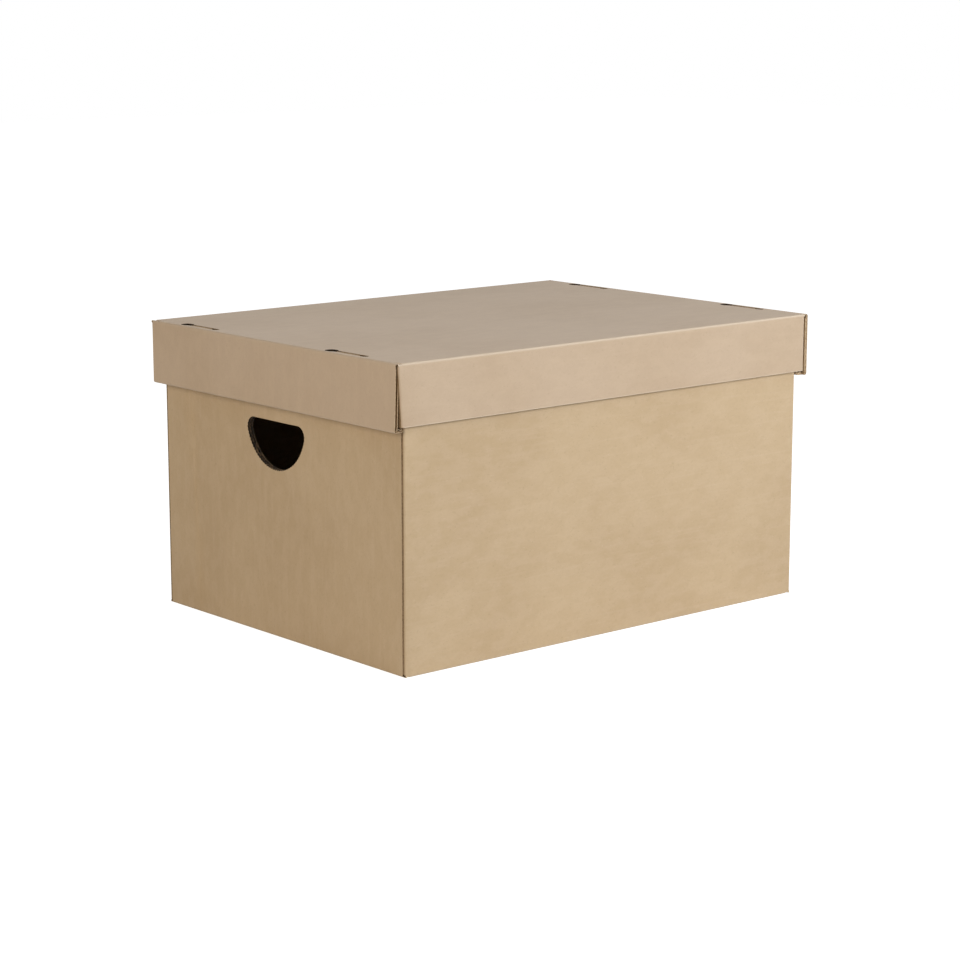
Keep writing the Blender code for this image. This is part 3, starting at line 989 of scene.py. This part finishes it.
# %% Layer tables: name, mm along, mm across, detail, starts, full, colour, share
LINER_LAYERS = [
    ("clouds of pulp", 95, 70, 2, 0.36, 0.66, "#a98d66", 0.20),
    ("mottling", 17, 9, 3, 0.38, 0.66, "#dcc7a8", 0.16),
    ("fibre felt", 3.4, 2.4, 2, 0.42, 0.68, "#9b7f5b", 0.055),
    ("smears", 60, 3.2, 2, 0.54, 0.72, "#e0ccb0", 0.07),
    ("bark specks", 2.0, 1.5, 1, 0.67, 0.73, "#7a5f42", 0.12),
    ("pale shives", 3.2, 1.1, 1, 0.68, 0.74, "#ead9bf", 0.10),
]
CORE_LAYERS = [
    ("mottling", 9, 5, 3, 0.40, 0.65, "#a98c68", 0.4),
    ("fibre felt", 2.0, 1.4, 2, 0.42, 0.66, "#5f4931", 0.4),
]


# %% Kraft material
WEAR_AND_HIGHLIGHT_SHARE = 0.75
BUMP_HEIGHT = 0.04 * MM
LAYER_SHIFT = (17.3, 5.1, 2.7)
SURFACE = {"IOR": 1.45, "Sheen Weight": 0.15, "Sheen Roughness": 0.5}


def kraft(name, colour, layers, roughness, flutes=0.0, wear_and_highlight="#e6d6b8"):
    """A matt kraft paper; flutes is how strongly the core shows through the liner."""
    material = bpy.data.materials.new(name)
    material.use_nodes = True
    tree = material.node_tree
    shader = tree.nodes["Principled BSDF"]
    blank = add(tree, "ShaderNodeAttribute", attribute_name="blank").outputs["Vector"]
    tint, heights = linear(colour), []
    for index, (title, along, across, detail, low, high, shade, share) in enumerate(layers):
        scale = (1 / (along * MM), 1 / (across * MM), 1 / (across * MM))
        shift = (LAYER_SHIFT[0] * index, LAYER_SHIFT[1] * index, LAYER_SHIFT[2])
        spot = {"Vector": blank, "Location": shift, "Scale": scale}
        spot = add(tree, "ShaderNodeMapping", spot, label=title).outputs[0]
        noise = add(tree, "ShaderNodeTexNoise", {"Vector": spot, "Scale": 1.0, "Detail": detail})
        cover = {"Value": noise.outputs[0], "From Min": low, "From Max": high, "To Max": share}
        cover = add(tree, "ShaderNodeMapRange", cover, interpolation_type="SMOOTHSTEP").outputs[0]
        tint = layered(tree, tint, cover, shade)
        heights.append(cover)
    # pale wear near creases and frayed edges, with a painted highlight in the same colour
    if wear_and_highlight:
        near = add(tree, "ShaderNodeAttribute", attribute_name="crease").outputs["Fac"]
        near = add(tree, "ShaderNodeMath", {0: near, 1: 2.0}, operation="POWER").outputs[0]
        wear_and_highlight_cover = add(tree, "ShaderNodeMath", {0: near, 1: WEAR_AND_HIGHLIGHT_SHARE}, operation="MULTIPLY")
        tint = layered(tree, tint, wear_and_highlight_cover.outputs[0], wear_and_highlight)
    height = add(tree, "ShaderNodeMath", {0: heights[0], 1: heights[-1]}, operation="ADD").outputs[0]
    if flutes:
        place = add(tree, "ShaderNodeSeparateXYZ", {0: blank}).outputs["Y"]
        turns = 2 * math.pi / FLUTE_PITCH
        phase = add(tree, "ShaderNodeMath", {0: place, 1: turns}, operation="MULTIPLY").outputs[0]
        ridge = add(tree, "ShaderNodeMath", {0: phase}, operation="SINE").outputs[0]
        ridge = add(tree, "ShaderNodeMath", {0: ridge, 1: flutes}, operation="MULTIPLY").outputs[0]
        height = add(tree, "ShaderNodeMath", {0: ridge, 1: height}, operation="ADD").outputs[0]
    bump = {"Height": height, "Strength": 0.5, "Distance": BUMP_HEIGHT}
    bump = add(tree, "ShaderNodeBump", bump)
    tree.links.new(tint, shader.inputs["Base Color"])
    tree.links.new(bump.outputs[0], shader.inputs["Normal"])
    for socket, value in {"Roughness": roughness, **SURFACE}.items():
        shader.inputs[socket].default_value = value
    print(f"{name}: {len(tree.nodes)} nodes")
    return material


# %% [markdown]
# ## The papers
#
# Outer and inner liner are the same paper, matt and pale brown. The outer one was rolled smooth, so the
# flutes hardly show in it. The inner one is rougher and shows them more. A die cut edge is bare pale
# pulp. The fluting paper is darker, because its hardwood chips are only half cooked. The lid is cut from
# a greyer, calmer sheet than the base.

# %% Paper the sheets
LID_CALM = 0.75
LID_LAYERS = [(*layer[:-1], LID_CALM * layer[-1]) for layer in LINER_LAYERS]
base_paper = [
    kraft("kraft liner, calendered, base", "#c9b18c", LINER_LAYERS, 0.78, flutes=0.25),
    kraft("kraft liner, inner side", "#bfa682", LINER_LAYERS, 0.85, flutes=0.8),
    kraft("kraft liner, die cut edge", "#cdb591", CORE_LAYERS, 0.9, wear_and_highlight=None),
    kraft("semi-chemical fluting paper", "#94764f", CORE_LAYERS, 0.92, wear_and_highlight=None),
    # near-black painted shade for the cut edges of the slots and hand holes
    kraft("board edge, painted shade", "#2b241c", CORE_LAYERS, 0.95, wear_and_highlight=None),
    # brown painted shade for the gap where a flap goes in behind an end, and along the tab in a slot
    kraft("kraft liner, painted shade in a gap", "#8a7352", CORE_LAYERS, 0.92, wear_and_highlight=None),
]
lid_outside = ("kraft liner, calendered, lid", "#c9b397", LID_LAYERS, 0.74)
# the lid's creases get a paler mix of wear and painted highlight
lid_paper = [kraft(*lid_outside, flutes=0.25, wear_and_highlight="#ecdfc8"), *base_paper[1:]]
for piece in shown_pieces():
    for material in lid_paper if piece is lid_sheet else base_paper:
        piece.data.materials.append(material)

# %% [markdown]
# # Studio
#
# ## Floor and backdrop
#
# The photograph is a cut-out on white. The floor is pale, and its own colour is lifted to white only
# for the rays that the camera, a reflection or a clear surface sends. It lights the box as an ordinary
# pale floor does, and it keeps the shadow under the box.

# %% Floor and world
FLOOR_REACH = 7.0
floor_mesh = bpy.data.meshes.new("floor")
floor_corners = [(x * FLOOR_REACH, y * FLOOR_REACH, 0) for x, y in ((-1, -1), (1, -1), (1, 1), (-1, 1))]
floor_mesh.from_pydata(floor_corners, [], [(0, 1, 2, 3)])
floor = bpy.data.objects.new("floor", floor_mesh)
bpy.context.scene.collection.objects.link(floor)


def seen_rays(tree):
    """1 for rays from the camera, a reflection or a clear surface, 0 for light that falls on things."""
    path = add(tree, "ShaderNodeLightPath")
    total = path.outputs["Is Camera Ray"]
    for kind in ("Is Glossy Ray", "Is Transmission Ray"):
        both = {0: total, 1: path.outputs[kind]}
        total = add(tree, "ShaderNodeMath", both, operation="MAXIMUM").outputs[0]
    return total


floor_paint = bpy.data.materials.new("matt white studio floor")
floor_paint.use_nodes = True
tree = floor_paint.node_tree
tree.nodes.clear()
FLOOR_LIFT = 0.86
matt = add(tree, "ShaderNodeBsdfDiffuse", {"Color": linear("#d9d9d9")})
lift = add(tree, "ShaderNodeMath", {0: seen_rays(tree), 1: FLOOR_LIFT}, operation="MULTIPLY")
glow = add(tree, "ShaderNodeEmission", {"Color": linear("#ffffff"), "Strength": lift.outputs[0]})
both = add(tree, "ShaderNodeAddShader", {0: matt.outputs[0], 1: glow.outputs[0]})
add(tree, "ShaderNodeOutputMaterial", {"Surface": both.outputs[0]})
floor_mesh.materials.append(floor_paint)

SKY = 0.235
world = bpy.data.worlds.new("studio")
bpy.context.scene.world = world
world.use_nodes = True
tree = world.node_tree
tree.nodes.clear()
strength = {"Value": seen_rays(tree), "To Min": SKY, "To Max": 1.0}
strength = add(tree, "ShaderNodeMapRange", strength).outputs[0]
sky = add(tree, "ShaderNodeBackground", {"Color": linear("#ffffff"), "Strength": strength})
add(tree, "ShaderNodeOutputWorld", {"Surface": sky.outputs[0]})

# %% [markdown]
# ## Lamps
#
# The long side of the box is the brightest, then the top, then the end. So the main lamp is large and
# soft, and stands low in front and to the right. A weaker one fills the end from the left. A surface
# that faces a lamp of `watts` at distance `r` gets as much light as a white sky of strength
# `watts / (pi * pi * r * r)` would give it, so the lamps are written as that strength.

# %% Add the lamps
LAMPS = [
    ("key softbox", (0.98, -2.08, 1.04), 0.95, 0.60, "#f8f9ff"),
    ("left fill", (-3.0, -0.9, 1.3), 1.8, 0.345, "#fff0e2"),
]
for title, spot, width, share, tint in LAMPS:
    lamp = bpy.data.lights.new(title, "AREA")
    lamp.shape, lamp.size = "DISK", width
    distance = Vector(spot).length
    lamp.energy = share * (math.pi * distance) ** 2
    lamp.color = linear(tint)[:3]
    stand = bpy.data.objects.new(title, lamp)
    stand.location = spot
    stand.rotation_euler = (-Vector(spot)).to_track_quat("-Z", "Y").to_euler()
    bpy.context.scene.collection.objects.link(stand)
    print(f"{title}: {lamp.energy:.0f} W at {distance:.1f} m")

# %% [markdown]
# ## Camera
#
# Edges of the box were measured in the photograph, and one camera was fitted to all of them at once. It
# stands 2.2 m away, 40 degrees round from the long side and 11 degrees above it, with a long lens.

# %% Add the camera
camera = bpy.data.objects.new("camera", bpy.data.cameras.new("camera"))
camera.data.sensor_width = 36
camera.data.lens = 94.98
camera.location = (-1.41616, -1.66092, 0.53581)
look = Vector((0.63582, 0.74724, -0.1933))
camera.rotation_euler = look.to_track_quat("-Z", "Y").to_euler()
bpy.context.scene.collection.objects.link(camera)
bpy.context.scene.camera = camera
bpy.context.scene.view_settings.view_transform = "Standard"

# %% Update the scene
bpy.context.view_layer.update()
